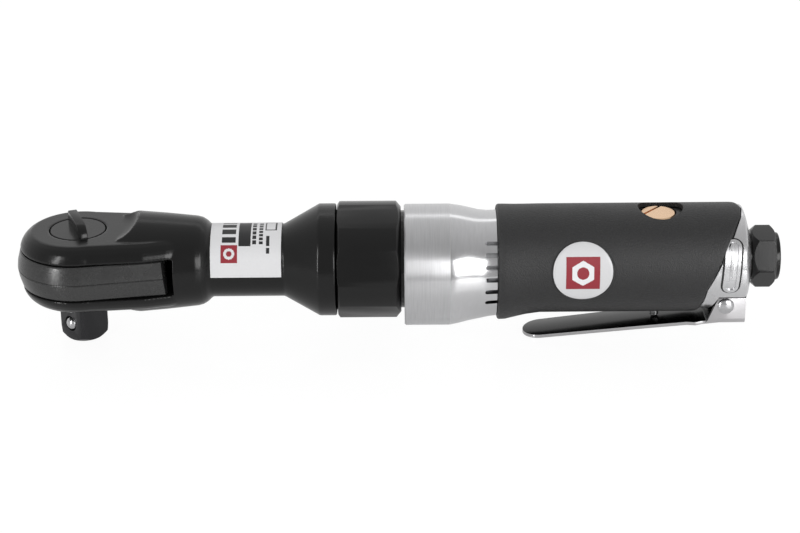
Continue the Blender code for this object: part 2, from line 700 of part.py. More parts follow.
def inlet_bushing(finish):
    """Hexagon between a spigot in the housing and a short collar, with a stepped bore through all of it."""
    flats = regular(6, HEX_FLATS, HEX_FACE)
    bushing = mesh_object("inlet_bushing", prism(flats, HEX_START, HEX_END, "X"), finish)
    chamfer = [(HEX_START - 1.2, 0), (HEX_START - 1.2, 8.2), (HEX_START + 2.1, 10.9), (HEX_END - 1.4, 10.9)]
    chamfer += [(HEX_END + 0.6, 9.0), (HEX_END + 0.6, 0)]
    shape(bushing, "INTERSECT", turned(chamfer, 24))
    body = [(221, 0), (221, 8.0), (229.6, 8.0), (229.6, 6.9), (231.6, 6.9), (231.6, 8.0), (236, 7.9)]
    body += [(INLET_END - 2, 8.35), (INLET_END - 0.4, 8.35), (INLET_END, 7.95), (INLET_END, 0)]
    fuse(bushing, turned(body, 24))
    return cut(bushing, turned([(200, 0), (200, 5.2), (233, 5.2), (235, 5.9), (260, 6.6), (260, 0)], 24))


def inlet_oring(finish):
    return mesh_object("inlet_oring", torus(7.6, 0.45, "X", 230.6), finish)


def inlet_screen(finish):
    """Disc with a ring of holes."""
    screen = mesh_object("inlet_screen", rod(7.9, 219.3, 220.5, segments=24), finish)
    cut(screen, rod(1.1, 215, 225, segments=8))
    for number in range(6):
        angle = TURN * number / 6
        hole = moved(rod(1.1, 215, 225, segments=8), (0, 4.2 * math.cos(angle), 4.2 * math.sin(angle)))
        cut(screen, hole)
    return screen


def build():
    black = material("black_casting", (0.022, 0.022, 0.024), 0.32, 0.4)
    steel = material("ground_steel", (0.42, 0.42, 0.43), 0.3, 1.0)
    dark_steel = material("dark_steel", (0.05, 0.05, 0.055), 0.35, 0.9)
    spring_steel = material("spring_steel", (0.5, 0.5, 0.5), 0.3, 1.0)
    bronze = material("bearing_bronze", (0.55, 0.36, 0.18), 0.35, 1.0)
    cast_alloy = material("cast_alloy", (0.6, 0.6, 0.6), 0.35, 1.0)
    brass = material("regulator_brass", (0.75, 0.48, 0.24), 0.4, 0.8)
    chrome = material("lever_chrome", (0.75, 0.75, 0.76), 0.12, 1.0)
    rubber = material("grip_rubber", (0.02, 0.02, 0.02), 0.75, 0.0)
    fibre = material("vane_fibre", (0.35, 0.25, 0.14), 0.7, 0.0)
    foil = material("silver_foil", (0.7, 0.7, 0.7), 0.35, 0.6)

    ratchet_head(black)
    name_label(foil)
    ratchet_yoke(dark_steel)
    drive_anvil(dark_steel)
    reversing_pawl(steel)
    pawl_pin(steel)
    knob = reverse_knob(dark_steel)
    pawl_plunger(steel, knob)
    pawl_spring(spring_steel, knob)
    thrust_washer(steel)
    retaining_ring(spring_steel)
    socket_ball(steel)
    ball_spring(spring_steel)

    crankshaft(steel)
    drive_bushing(bronze)
    crank_bush("front_crank_bush", 40, 54, bronze)
    crank_bush("rear_crank_bush", 68, 82, bronze)
    ring_gear(steel)
    for number in range(PLANETS):
        planet_gear(number, steel)
        planet_pin(number, steel)
    clamp_spacer(steel)
    coupling_nut(dark_steel)
    housing_adapter(dark_steel)

    front_end_plate(cast_alloy)
    rotor_bearing("front_rotor_bearing", SHAFT_RADIUS + GAP, 9.0, 104.3, 107.9, steel)
    rotor(steel)
    for number in range(VANES):
        rotor_vane(number, fibre)
    motor_cylinder(steel)
    cylinder_pin(steel)
    rear_end_plate(cast_alloy)
    rotor_bearing("rear_rotor_bearing", 3.8, 7.0, 151.3, 155.0, steel)

    motor_housing(cast_alloy)
    grip_sleeve(rubber)
    badge_disc(foil)
    throttle_lever(chrome)
    lever_pin(steel)
    throttle_valve(steel)
    valve_seat(brass)
    throttle_spring(spring_steel)
    air_regulator(brass)
    regulator_oring(rubber)
    inlet_bushing(dark_steel)
    inlet_oring(rubber)
    inlet_screen(brass)


clear_scene()
tool_frame()
build()
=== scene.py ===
"""Looks of an air ratchet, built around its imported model.

Lengths are millimetres in the tool's own frame: its long axis is X, the axis of its drive square is Z, and
the two cross at the origin. Angles round the tool are elevations: 0 looks at the camera's side (-Y) and 90
looks up.
"""

import json
import math

import bmesh
import bpy
from mathutils import Matrix, Vector


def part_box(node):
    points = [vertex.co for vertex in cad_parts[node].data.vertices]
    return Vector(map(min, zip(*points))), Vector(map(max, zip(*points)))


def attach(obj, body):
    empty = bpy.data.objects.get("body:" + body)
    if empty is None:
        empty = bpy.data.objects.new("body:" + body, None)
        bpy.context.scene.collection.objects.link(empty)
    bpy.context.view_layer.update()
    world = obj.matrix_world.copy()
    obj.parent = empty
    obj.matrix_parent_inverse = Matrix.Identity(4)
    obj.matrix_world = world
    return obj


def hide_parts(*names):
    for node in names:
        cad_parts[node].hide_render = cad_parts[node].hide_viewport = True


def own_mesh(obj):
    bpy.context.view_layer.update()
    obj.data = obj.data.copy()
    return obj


METRES_PER_MM = 0.001
TURN = 2 * math.pi

# Ratchet head
EAR_RADIUS, EAR_TOP = 20.2, 12.4
SLOT_HALF, SLOT_END = 6.7, 33.9
NECK_RADIUS, NECK_START, NECK_END = 12.7, 46.6, 71.8
REAR_RADIUS, REAR_START, HEAD_END = 19.7, 84.2, 90.1
SPIGOT_RADIUS, SPIGOT_END = 17.1, 100.5

# Label, as distances along the tool and elevations round the neck
LABEL_START, LABEL_END = 46.7, 71.2
LABEL_LOWEST, LABEL_HIGHEST = -4, 146

# Marks of the label: a red square that holds a ring, and a box outlined between two sets of limits.
# Limits are start, end, lowest and highest.
LABEL_SQUARE, LABEL_RING = (50.4, 56.0, 19, 47), (1.0, 1.9)
LABEL_BOX, LABEL_BOX_INSIDE = (65.6, 69.6, 75, 104), (66.1, 69.1, 77, 102)

# Black rows of the label: their limits, then the degrees from one dash to the next and along each dash
SOLID = (360, 360)
LABEL_ROWS = (
    ((50.7, 55.6, 51, 104), (16, 10.5)),
    ((56.5, 60.6, 45, 104), SOLID),
    ((66.0, 67.2, 33, 42), SOLID),
    ((66.0, 67.2, 45, 63), SOLID),
    ((61.2, 62.6, 48, 100), (9, 6.6)),
    ((63.5, 64.8, 48, 100), (7, 4.8)),
)

# Ratchet
YOKE_RADIUS, YOKE_TEETH = 21.7, 40
DRIVE_SQUARE = 12.7
ANVIL_END = -28.0
BALL_LEVEL, BALL_RADIUS, BALL_PROUD = -21.9, 2.5, 1.2
BALL_TURN = math.radians(-132)
KNOB_TURN = math.radians(110)
POCKET_TURN = math.radians(80)

# Handle
NUT_START, NUT_END, NUT_FLATS = 90.6, 112.7, 39.0
NUT_FACE = math.pi - math.radians(12.5)
HOUSING_START, TURNED_END, HOUSING_END = 113.8, 129.8, 234.2
CORE_RADIUS, REAR_CASTING_RADIUS = 17.2, 18.3
OVAL_PLACE = (226.4, 11.5)
GRIP_START, GRIP_RADIUS, GRIP_INNER = 146.1, 19.1, 17.5
BADGE_X, BADGE_RADIUS, BADGE_TILT = 175.0, 10.3, math.radians(8.5)
EXHAUST_SLOTS, EXHAUST_LOWEST, EXHAUST_STEP = 6, math.radians(-28.0), math.radians(13.6)
EXHAUST_HALF, EXHAUST_FRONT, EXHAUST_BACK = 0.8, 142.4, 148
VALVE_X = 202.3
LEVER_PIN = (226.0, 0.0, -14.2)
LEVER_TIP, LEVER_TIP_LEVEL = 157, -28.7
LEVER_HALF, LEVER_END, CHEEK_TOP, PLATE = 10.9, 233.0, -11.3, 1.2
HEX_START, HEX_END, HEX_FLATS = 235.0, 243.2, 19.0
HEX_FACE = math.pi - math.radians(22)
INLET_END = 244.8

# The grip's rear edge: elevation round the tool, and distance along it
GRIP_EDGE = (
    (-90, 215.9), (-60, 216.3), (-43, 216.9), (-16.5, 218.0),
    (16.4, 222.8), (45, 226.8), (70, 229.8), (90, 230.8),
)

# Camera: its angle above the tool's axis, its distance and the point it looks at in metres, and its roll
CAMERA_RISE, CAMERA_DISTANCE, CAMERA_ROLL = math.radians(24), 0.743, math.radians(-0.46)
CAMERA_LENS = 95
CAMERA_ALONG, CAMERA_DROP = 0.1123, 0.0030

# Studio: softboxes as (place, target, size in metres, watts), and the brightness of the room round them
MIDDLE = (0.11, 0, 0.02)
LIGHTS = {
    "right_softbox": ((0.65, -0.78, 0.28), MIDDLE, (0.55, 0.5), 4.6),
    "left_strip": ((-0.6, -0.75, 0.35), MIDDLE, (0.1, 0.8), 4.2),
    "rear_strip": ((0.1, 0.55, 0.72), MIDDLE, (1.3, 0.12), 0.4),
}
ROOM_TONE, BACKDROP_TONE = 0.41, 0.82
FLOOR_GLOW, FLOOR_GLOW_REFLECTED = 0.88, 0.24


# ---------------------------------------------------------------- shapes


def oriented(axis, u, v, along):
    """The point at along on the axis, with u and v across it."""
    return {"X": (along, u, v), "Y": (u, along, v), "Z": (u, v, along)}[axis]


def stack(layers):
    """Solid through equal rings of points, closed by a face at each end."""
    bm = bmesh.new()
    rings = [[bm.verts.new(point) for point in layer] for layer in layers]
    for low, high in zip(rings, rings[1:]):
        for i in range(len(low)):
            j = (i + 1) % len(low)
            bm.faces.new((low[i], low[j], high[j], high[i]))
    bm.faces.new(rings[0])
    bm.faces.new(rings[-1])
    bmesh.ops.recalc_face_normals(bm, faces=bm.faces)
    return bm


def prism(outline, low, high, axis="Z"):
    """Extruded outline."""
    return stack([[oriented(axis, u, v, level) for u, v in outline] for level in (low, high)])


def box(low, high):
    """Block between its lowest and its highest corner."""
    corners = ((low[0], low[1]), (high[0], low[1]), (high[0], high[1]), (low[0], high[1]))
    return prism(corners, low[2], high[2])


def turned(profile, segments=96, axis="X"):
    """Solid of revolution of (along, radius) or (along, radius, shift) points.

    A profile that starts and ends at radius 0 is solid, and any other closes on itself as a ring. The
    shift moves a ring's centre upwards. A ring's place along the axis can be a function of the elevation.
    """
    bm = bmesh.new()
    rings = []
    for along, radius, *shift in profile:
        steps = segments if radius else 1
        rise = shift[0] if shift else 0
        ring = []
        for step in range(steps):
            angle = TURN * (step + 0.5) / segments
            u, v = radius * math.cos(angle), radius * math.sin(angle) + rise
            place = along(math.degrees(math.asin(math.sin(angle)))) if callable(along) else along
            ring.append(bm.verts.new(oriented(axis, u, v, place)))
        rings.append(ring)
    pairs = list(zip(rings, rings[1:]))
    if profile[0][1]:
        pairs.append((rings[-1], rings[0]))
    for first, second in pairs:
        for i in range(segments):
            j = (i + 1) % segments
            corners = [first[i % len(first)], first[j % len(first)]]
            corners += [second[j % len(second)], second[i % len(second)]]
            bm.faces.new(list(dict.fromkeys(corners)))
    bmesh.ops.recalc_face_normals(bm, faces=bm.faces)
    return bm


def rod(radius, low, high, axis="X", segments=48, bevel=0.0):
    """Cylinder, with a chamfer at both ends if there is a bevel."""
    ends = [(low, radius - bevel), (low + bevel, radius), (high - bevel, radius), (high, radius - bevel)]
    if not bevel:
        ends = [(low, radius), (high, radius)]
    return turned([(low, 0), *ends, (high, 0)], segments, axis)


def moved(bm, offset=(0, 0, 0), turn=0.0, axis="Z"):
    """The shape turned about an axis through the origin, then moved."""
    bm.transform(Matrix.Translation(offset) @ Matrix.Rotation(turn, 4, axis))
    return bm


def arc(radius, start, end, steps, centre=(0, 0)):
    """Points on an arc, with its ends in degrees."""
    angles = [math.radians(start + (end - start) * i / steps) for i in range(steps + 1)]
    return [(centre[0] + radius * math.cos(a), centre[1] + radius * math.sin(a)) for a in angles]


def regular(corners, across_flats, turn=0.0):
    """Corners of a regular polygon whose first flat faces the turn angle."""
    radius = across_flats / 2 / math.cos(math.pi / corners)
    angles = [turn + TURN * (i + 0.5) / corners for i in range(corners)]
    return [(radius * math.cos(a), radius * math.sin(a)) for a in angles]


def between(table, place):
    """Straight-line reading of (place, value) rows, level before the first and after the last."""
    for (low, first), (high, second) in zip(table, table[1:]):
        if place <= high:
            share = max(0.0, (place - low) / (high - low))
            return first + (second - first) * share
    return table[-1][1]


def plain_object(bm, name="helper"):
    """Object of a shape, which is used up."""
    mesh = bpy.data.meshes.new(name)
    bm.to_mesh(mesh)
    bm.free()
    obj = bpy.data.objects.new(name, mesh)
    bpy.context.scene.collection.objects.link(obj)
    return obj


def applied(obj, *helpers):
    """The shape of an object with its modifiers applied. The object and its helpers are removed."""
    graph = bpy.context.evaluated_depsgraph_get()
    mesh = bpy.data.meshes.new_from_object(obj.evaluated_get(graph))
    bm = bmesh.new()
    bm.from_mesh(mesh)
    for used in (obj, *helpers):
        bpy.data.objects.remove(used)
    bpy.data.meshes.remove(mesh)
    return bm


def combined(operation, bm, tools):
    """The shape after a Boolean with each tool in turn."""
    base = plain_object(bm)
    helpers = [plain_object(tool) for tool in tools]
    for helper in helpers:
        modifier = base.modifiers.new("boolean", "BOOLEAN")
        modifier.operation = operation
        modifier.solver = "EXACT"
        modifier.object = helper
    return applied(base, *helpers)


def cut(bm, *tools):
    return combined("DIFFERENCE", bm, tools)


def fused(bm, *tools):
    return combined("UNION", bm, tools)


def common(bm, *tools):
    return combined("INTERSECT", bm, tools)


def softened(bm, width):
    """The shape with its sharp edges rounded."""
    base = plain_object(bm)
    modifier = base.modifiers.new("bevel", "BEVEL")
    modifier.width = width
    modifier.segments = 2
    modifier.limit_method = "ANGLE"
    modifier.angle_limit = math.radians(30)
    modifier.harden_normals = False
    return applied(base)


def cast(bm, voxel, rounds):
    """The shape as one even skin with its edges rounded, as a casting has."""
    base = plain_object(bm)
    remesh = base.modifiers.new("remesh", "REMESH")
    remesh.mode = "VOXEL"
    remesh.voxel_size = voxel
    smooth = base.modifiers.new("smooth", "SMOOTH")
    smooth.factor = 0.5
    smooth.iterations = rounds
    return applied(base)


def piece(name, bm, finish, body, *nodes, sharp=35):
    """A shown piece in the model's frame, which rides on a body and stands for the body's nodes."""
    bm.transform(Matrix.Scale(METRES_PER_MM, 4) @ Matrix.Translation((0, 0, AXIS_HEIGHT)))
    obj = plain_object(bm, name)
    obj.data.shade_smooth()
    obj.data.set_sharp_from_angle(angle=math.radians(sharp))
    for made in finish if isinstance(finish, (list, tuple)) else [finish]:
        obj.data.materials.append(made)
    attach(obj, body)
    if nodes:
        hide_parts(*nodes)
    return obj


# ---------------------------------------------------------------- finishes


def add(tree, kind, inputs=None, **settings):
    """New shader node. An input takes a value or another node's output."""
    made = tree.nodes.new("ShaderNode" + kind)
    for name, value in settings.items():
        setattr(made, name, value)
    for name, value in (inputs or {}).items():
        if isinstance(value, bpy.types.NodeSocket):
            tree.links.new(value, made.inputs[name])
        else:
            made.inputs[name].default_value = value
    return made


def scaled(tree, value, low, high):
    """A texture's output from 0 to 1, as a value from low to high."""
    inputs = {"Value": value, "To Min": low, "To Max": high}
    return add(tree, "MapRange", inputs).outputs["Result"]


def noise(tree, place, size, detail=3.0):
    """Noise whose features are about this many millimetres wide."""
    inputs = {"Vector": place, "Scale": 1 / (size * METRES_PER_MM), "Detail": detail}
    return add(tree, "TexNoise", inputs).outputs["Fac"]


def stretched(tree, place, x=1.0, y=1.0, z=1.0):
    """The place with its axes scaled, so that a texture draws out along the smallest."""
    inputs = {0: place, 1: (x, y, z)}
    return add(tree, "VectorMath", inputs, operation="MULTIPLY").outputs[0]


def finish(
    name, colour, roughness, metallic, grain, stretch=(1, 1, 1), mottle=0.08, shade=0.1, specular=0.5,
):
    """Procedural finish. The grain is a bump's feature size and height in millimetres.

    The mottle is how far the roughness strays, and the shade is how far the colour does.
    """
    made = bpy.data.materials.new(name)
    made.use_nodes = True
    tree = made.node_tree
    shader = tree.nodes["Principled BSDF"]
    place = add(tree, "TexCoord").outputs["Object"]
    drawn = stretched(tree, place, *stretch)
    broad, fine = noise(tree, place, 6.0), noise(tree, drawn, grain[0])
    dark = tuple(channel * (1 - shade) for channel in colour)
    light = tuple(min(1.0, channel * (1 + shade)) for channel in colour)
    mixed = add(tree, "Mix", {"Factor": fine, "A": (*dark, 1), "B": (*light, 1)}, data_type="RGBA")
    tree.links.new(mixed.outputs["Result"], shader.inputs["Base Color"])
    rough = scaled(tree, broad, max(0.02, roughness - mottle), roughness + mottle)
    tree.links.new(rough, shader.inputs["Roughness"])
    shader.inputs["Metallic"].default_value = metallic
    shader.inputs["Specular IOR Level"].default_value = specular
    if grain[1]:
        bump = add(tree, "Bump", {"Height": fine, "Strength": 1.0, "Distance": grain[1] * METRES_PER_MM})
        tree.links.new(bump.outputs["Normal"], shader.inputs["Normal"])
    return made


def spun(made, amount):
    """Draws a finish's highlights out along the tool, as turning marks round it do."""
    tree = made.node_tree
    shader = tree.nodes["Principled BSDF"]
    shader.inputs["Anisotropic"].default_value = amount
    shader.inputs["Anisotropic Rotation"].default_value = 0.25
    tangent = add(tree, "Tangent", direction_type="RADIAL", axis="X")
    tree.links.new(tangent.outputs["Tangent"], shader.inputs["Tangent"])


def finishes():
    """Every finish by name. A stretch below 1 along an axis draws the grain out along it."""
    lathe = (1, 0.04, 0.04)
    rows = {
        "casting": ((0.003, 0.003, 0.003), 0.22, 0.0, (1.2, 0.02), (1, 1, 1), 0.05, 0.1, 0.36),
        "black_steel": ((0.004, 0.004, 0.004), 0.18, 0.0, (0.35, 0.004), lathe, 0.05, 0.1, 0.36),
        "drive_steel": ((0.03, 0.03, 0.032), 0.22, 0.6, (0.5, 0.004), (1, 1, 0.2), 0.06),
        "yoke_steel": ((0.07, 0.07, 0.07), 0.27, 0.8, (0.5, 0.03), (1, 1, 1), 0.08, 0.4),
        "ground_steel": ((0.55, 0.55, 0.56), 0.24, 1.0, (0.3, 0.004), lathe, 0.06),
        "spring_steel": ((0.42, 0.42, 0.43), 0.28, 1.0, (0.3, 0.002), (1, 1, 1), 0.06),
        "bronze": ((0.55, 0.33, 0.14), 0.36, 1.0, (0.2, 0.01), (1, 1, 1), 0.08, 0.2),
        "alloy_turned": ((0.60, 0.60, 0.61), 0.3, 1.0, (0.35, 0.014), lathe, 0.05, 0.14),
        "alloy_satin": ((0.66, 0.66, 0.67), 0.28, 1.0, (0.5, 0.01), (1, 0.2, 0.2), 0.05, 0.08),
        "alloy_shaded": ((0.07, 0.07, 0.07), 0.4, 1.0, (0.5, 0.0), (1, 1, 1), 0.05, 0.1),
        "alloy_polished": ((0.64, 0.64, 0.65), 0.16, 1.0, (0.8, 0.004), (1, 0.2, 0.2), 0.05, 0.06),
        "brass": ((0.90, 0.62, 0.40), 0.26, 0.9, (0.3, 0.003), (1, 1, 1), 0.06),
        # Dark chrome for the lever's top face between the cheeks: painted shade and painted reflection of the dark
        # body above.
        "lever_top": ((0.06, 0.06, 0.06), 0.2, 1.0, (2.5, 0.006), (1, 1, 1), 0.04, 0.04),
        # Near-black, dull finish on the head's slot walls, its bores and the parts seen through them: painted
        # shade.
        "greased": ((0.002, 0.002, 0.002), 0.8, 0.0, (0.8, 0.02), (1, 1, 1), 0.08, 0.3, 0.1),
        "chrome": ((0.58, 0.57, 0.58), 0.1, 1.0, (2.5, 0.006), (1, 1, 1), 0.04, 0.04),
        "grip": ((0.014, 0.014, 0.0145), 0.46, 0.0, (0.5, 0.22), (1, 1, 1), 0.06, 0.7),
        # Black rubber of the seals, also laid on the housing's core under the grip as painted shade.
        "seal": ((0.01, 0.01, 0.01), 0.35, 0.0, (0.5, 0.005)),
        "vane": ((0.30, 0.19, 0.09), 0.6, 0.0, (0.5, 0.02), (0.1, 1, 1), 0.08, 0.3),
        "foil": ((0.70, 0.70, 0.71), 0.4, 0.2, (0.8, 0.0), (1, 1, 1), 0.05, 0.03),
        "foil_red": ((0.26, 0.017, 0.028), 0.4, 0.0, (0.5, 0.0), (1, 1, 1), 0.05, 0.08),
        "foil_black": ((0.012, 0.012, 0.013), 0.4, 0.0, (0.5, 0.0), (1, 1, 1), 0.05, 0.1),
        "badge": ((0.6, 0.6, 0.61), 0.4, 0.1, (0.6, 0.0), (1, 1, 1), 0.05, 0.03),
        "emblem": ((0.72, 0.72, 0.73), 0.4, 0.0, (0.6, 0.0), (1, 1, 1), 0.05, 0.03),
    }
    look = {name: finish(name, *row) for name, row in rows.items()}
    spun(look["alloy_turned"], 0.72)
    return look


# ---------------------------------------------------------------- head


def head_outline(inset):
    """Plan of the ears: a circle about the drive axis with sides that run into the round root."""
    radius = EAR_RADIUS - inset
    sides = [(44, 9.5), (40, 12.0), (32, 15.5), (24, 17.6)]
    right = [(x, y - inset) for x, y in sides]
    left = [(x, inset - y) for x, y in reversed(sides)]
    return right + arc(radius, 74, 286, 48) + left


def ear_shape():
    """Flat-topped ears with a convex skirt."""
    skirt = ((EAR_TOP, 4.1), (11.5, 2.6), (10.2, 1.3), (8.8, 0.45), (7.6, 0.0))
    levels = [(-level, inset) for level, inset in skirt] + [*reversed(skirt)]
    return stack([[(x, y, level) for x, y in head_outline(inset)] for level, inset in levels])


def head_shape():
    """Ears on a round root, then the neck, a cone and the rear flange with its spigot."""
    root = [(15, 0), (15, 17.3), (21.4, 17.7), (31, 16.9), (41.6, 15.8), (43.4, 15.3)]
    root += [(45, 14.3), (46.2, 13.1)]
    neck = [(NECK_START + 0.2, NECK_RADIUS), (NECK_END, NECK_RADIUS), (REAR_START, REAR_RADIUS)]
    flange = [(HEAD_END - 0.3, REAR_RADIUS), (HEAD_END, REAR_RADIUS - 0.3), (HEAD_END, SPIGOT_RADIUS)]
    body = turned([*root, *neck, *flange, (SPIGOT_END, SPIGOT_RADIUS), (SPIGOT_END, 0)])
    spindle = [(-20, 0), (-20, 10.3), (8.3, 10.3), (8.3, 11.5), (9.8, 11.5), (9.8, 9.95)]
    spindle += [(20, 9.95), (20, 0)]
    crank = [(30, 0), (30, 10), (82.8, 10), (82.8, 12.6), (86.4, 12.6), (86.4, 15.3), (110, 15.3), (110, 0)]
    swoosh = [(EAR_TOP, 0), (EAR_TOP, 16.5), (12.7, 18.2), (13.4, 19.6), (14.6, 20.7), (16, 21.3)]
    swoosh += [(18, 21.8), (30, 21.8), (30, 0)]
    whole = cut(
        fused(ear_shape(), body),
        turned(swoosh, 144, "Z"),
        turned([(-level, radius) for level, radius in swoosh], 144, "Z"),
        box((-30, -30, -SLOT_HALF), (SLOT_END, 30, SLOT_HALF)),
        turned(spindle, 64, "Z"),
        turned(crank, 64),
    )
    return cast(whole, 0.35, 4)


def ratchet_head(look):
    """Head casting, its slot walls and bores painted near-black inside as painted shade."""
    shape = head_shape()
    # Faces in the bores and on the slot's walls take the near-black finish: painted shade.
    for face in shape.faces:
        spot = face.calc_center_median()
        in_bore = spot.x > 27 and math.hypot(spot.y, spot.z) < 12.3
        in_slot = abs(abs(spot.z) - SLOT_HALF) < 0.35 and abs(face.normal.z) > 0.7
        face.material_index = int(in_bore or in_slot)
    piece("head_casting", shape, [look["casting"], look["greased"]], "body", "ratchet_head", sharp=60)


def within(x, elevation, limits):
    start, end, low, high = limits
    return start < x < end and low < elevation < high


def ink(x, elevation):
    """Which finish a spot of the label has: 0 foil, 1 red, 2 black. All its marks are plain blocks."""
    if within(x, elevation, LABEL_SQUARE):
        from_middle = math.hypot(x - 53.2, NECK_RADIUS * math.radians(elevation - 33))
        return 0 if LABEL_RING[0] < from_middle < LABEL_RING[1] else 1
    for limits, (period, length) in LABEL_ROWS:
        if within(x, elevation, limits):
            return 2 if (elevation - limits[2]) % period <= length else 0
    return 2 if within(x, elevation, LABEL_BOX) and not within(x, elevation, LABEL_BOX_INSIDE) else 0


def wrapped_sheet(start, end, low, high, inner, outer, columns, rows):
    """Thin sheet bent round the tool between two elevations, as an even grid of faces."""
    layers = []
    for column in range(columns + 1):
        x = start + (end - start) * column / columns
        angles = [math.radians(180 - low - (high - low) * row / rows) for row in range(rows + 1)]
        layer = [(x, outer * math.cos(a), outer * math.sin(a)) for a in angles]
        layers.append(layer + [(x, inner * math.cos(a), inner * math.sin(a)) for a in reversed(angles)])
    return stack(layers)


def name_label(look):
    """Printed foil round the neck. Each face of its grid takes one of three finishes."""
    sheet = wrapped_sheet(LABEL_START, LABEL_END, LABEL_LOWEST, LABEL_HIGHEST, 12.75, 13.1, 128, 150)
    for face in sheet.faces:
        middle = face.calc_center_median()
        elevation = math.degrees(math.atan2(middle.z, -middle.y))
        face.material_index = ink(middle.x, elevation)
    marks = [look["foil"], look["foil_red"], look["foil_black"]]
    piece("neck_label", sheet, marks, "body", "name_label")


# ---------------------------------------------------------------- ratchet


def ratchet_yoke(look):
    """Forged yoke, widest by its parting line, with the fork slot for the crank's roller.

    Its rear face leans forward towards the top, as a drafted face does.
    """
    side = [(31.1, 14.4), (30.6, 16.4)]
    outline = side + arc(YOKE_RADIUS, 80, 280, 72) + [(x, -y) for x, y in reversed(side)]
    half = ((6.3, 0.925), (5.9, 0.943), (2.6, 0.985), (0.3, 0.998))
    sides = [(-level, shrink) for level, shrink in half] + [(0, 0.988)] + [*reversed(half)]
    layers = []
    for level, shrink in sides:
        lean = 0.09 * level
        layers.append([(x - lean if x > 29 else x * shrink, y * shrink, level) for x, y in outline])
    teeth = []
    for tooth in range(YOKE_TEETH):
        for radius, place in ((10.6, 0), (11.7, 0.5)):
            angle = TURN * (tooth + place) / YOKE_TEETH
            teeth.append((radius * math.cos(angle), radius * math.sin(angle)))
    shape = cut(stack(layers), prism(teeth, -8, 8), box((20.5, -9.7, -8), (35, 9.7, 8)))
    piece("yoke_forging", shape, look["yoke_steel"], "yoke", "ratchet_yoke", sharp=24)


def square_outline(half, bevel, turn):
    """Corners of a square with bevelled corners, in order round it. The turn is that of its first face."""
    points = []
    for quarter in range(4):
        angle = turn + TURN * quarter / 4
        for along in (bevel - half, half - bevel):
            u = half * math.cos(angle) - along * math.sin(angle)
            points.append((u, half * math.sin(angle) + along * math.cos(angle)))
    return points


def drive_anvil(look):
    """Spindle with the drive square below it, whose end is turned to a cone."""
    spindle = rod(10.0, -12.5, 7.2, "Z", 64, 0.4)
    square = prism(square_outline(DRIVE_SQUARE / 2, 1.1, BALL_TURN), ANVIL_END, -11.5)
    end = turned([(ANVIL_END, 0), (ANVIL_END, 6.4), (-26.6, 8.0), (-11, 9.5), (-11, 0)], 64, "Z")
    shape = cut(
        fused(spindle, common(square, end)),
        rod(3.3, -6, 10, "Z", 24),
        moved(box((-12, -7.6, -6), (-4.3, 7.6, 6)), turn=POCKET_TURN),
        moved(box((-5, -3.6, -1.5), (-1, 3.6, 1.5)), turn=POCKET_TURN),
        moved(moved(rod(1.5, -8.4, 9, "Z"), (-7.0, 0, 0)), turn=POCKET_TURN),
        moved(moved(rod(BALL_RADIUS + 0.3, -2.6, 9), (0, 0, BALL_LEVEL)), turn=BALL_TURN),
    )
    shape = softened(shape, 0.15)
    piece("drive_spindle", shape, look["drive_steel"], "anvil", "drive_anvil")


def socket_ball(look):
    """Ball that stands proud of one face of the drive square."""
    bm = bmesh.new()
    bmesh.ops.create_uvsphere(bm, u_segments=32, v_segments=20, radius=BALL_RADIUS)
    reach = DRIVE_SQUARE / 2 + BALL_PROUD - BALL_RADIUS
    moved(bm, (reach * math.cos(BALL_TURN), reach * math.sin(BALL_TURN), BALL_LEVEL))
    piece("retaining_ball", bm, look["ground_steel"], "ball", "socket_ball")


def reverse_knob(look):
    """Disc with a bar across it, whose nose slopes down to the disc's edge."""
    disc = turned([(-5, 0), (-5, 3), (9.9, 3), (9.9, 9.6), (12.1, 9.6), (12.35, 9.4), (12.35, 0)], 96, "Z")
    bar = [(8.6, 12.0), (8.6, 15.7), (7.9, 16.5), (-5.0, 16.5), (-6.6, 15.9), (-8.0, 14.7), (-8.9, 13.3)]
    bar += [(-9.1, 12.0)]
    shape = fused(disc, softened(prism(bar, -1.6, 1.6, "Y"), 0.3))
    shape = cut(shape, rod(1.4, -6, 1.8))
    piece("knob_casting", moved(shape, turn=KNOB_TURN), look["casting"], "knob", "reverse_knob")


# ---------------------------------------------------------------- handle


def coupling_nut(look):
    """Large hexagon with its corners turned round and a chamfer turned on each end."""
    hexagon = prism(regular(6, NUT_FLATS, NUT_FACE), NUT_START, NUT_END, "X")
    corner = 20.45
    profile = [(NUT_START, 0), (NUT_START, corner - 0.9), (NUT_START + 0.7, corner)]
    profile += [(NUT_END - 1.7, corner), (NUT_END, corner - 2.0), (NUT_END, 0)]
    turning = turned(profile, 144)
    shape = cut(common(hexagon, turning), rod(17.4, 80, 120, segments=96))
    piece("coupling_hexagon", softened(shape, 0.18), look["black_steel"], "body", "coupling_nut")


def grip_edge(elevation):
    return between(GRIP_EDGE, elevation)


def behind_grip(elevation):
    return grip_edge(elevation) + 0.25


def housing_profile():
    """Bulged front with a taper to the exhaust, a slim core under the grip and a domed rear."""
    front = [(HOUSING_START, 0), (HOUSING_START, 20.9, -2.2), (HOUSING_START + 0.5, 21.3, -2.2)]
    front += [(129.6, 21.3, -2.2)]
    taper = [(132.6, 20.8, -2.1), (135.2, 20.2, -2.0), (137.6, 19.65, -2.05), (140, 19.15, -2.1)]
    taper += [(143, 18.7, -1.9)]
    core = [(145.8, 18.57, -1.68), (145.8, CORE_RADIUS), (behind_grip, CORE_RADIUS)]
    rear = [(behind_grip, REAR_CASTING_RADIUS - 0.2), (lambda e: behind_grip(e) + 0.2, REAR_CASTING_RADIUS)]
    dome = [(231.2, 18.3), (231.6, 18.1, -0.1), (232.0, 17.5, -0.3), (232.6, 16.2, -0.6)]
    dome += [(233.2, 14.4, -0.9), (233.7, 12.2, -1.1), (HOUSING_END, 9.5, -0.8), (HOUSING_END, 0)]
    return [*front, *taper, *core, *rear, *dome]


